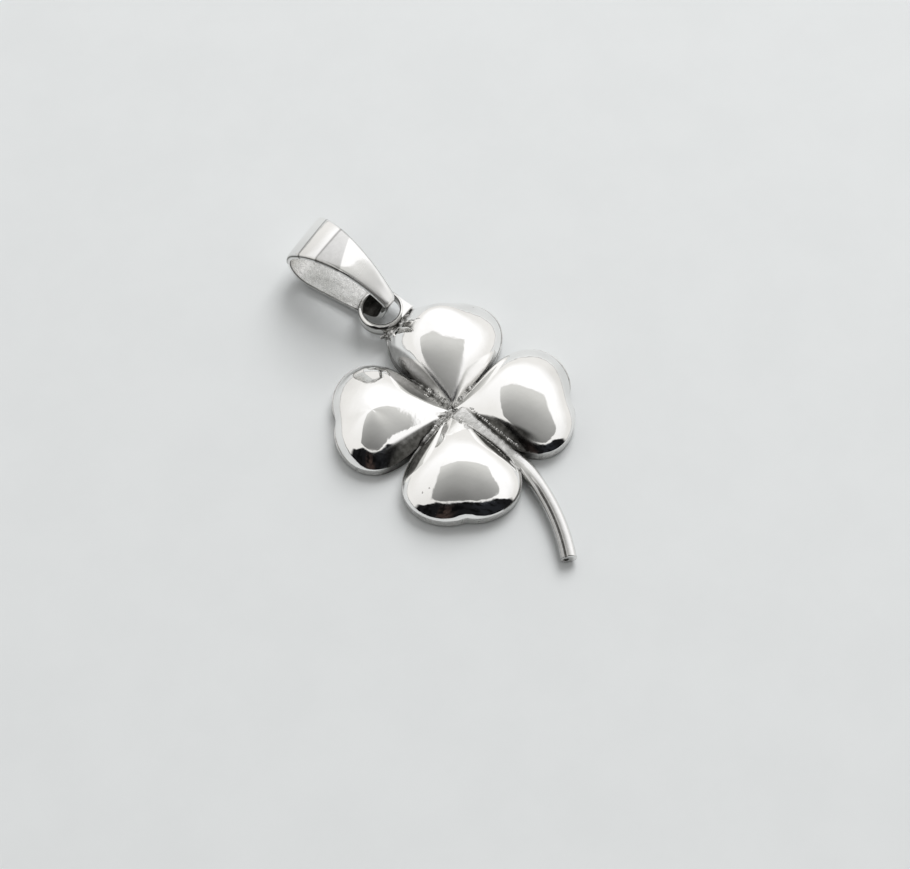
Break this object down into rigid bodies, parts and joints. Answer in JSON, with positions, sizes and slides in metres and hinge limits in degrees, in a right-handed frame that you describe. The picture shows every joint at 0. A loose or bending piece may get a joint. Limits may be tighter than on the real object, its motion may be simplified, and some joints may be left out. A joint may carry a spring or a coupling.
{
  "type": "four leaf clover pendant",
  "caption": "Polished silver clover with puffed leaves, a curved stem and a fixed ring that holds a tapered loose bail for a chain",
  "frame": {"origin": "Middle of the clover, where the four leaves meet, on the flat back that rests on the surface", "axes": "+Z out of the front of the leaves, +Y from the middle towards the hanging ring, +X to the right of that"},
  "size_m": [0.0158, 0.03, 0.0048],
  "materials": {
    "polished_silver": "mirror polished silver, with cast texture in the grooves between the leaves",
    "bail_silver": "polished silver outside, matt as cast inside"
  },
  "bodies": {
    "root": {"clover": "polished_silver", "bail": "bail_silver"}
  },
  "joints": []
}
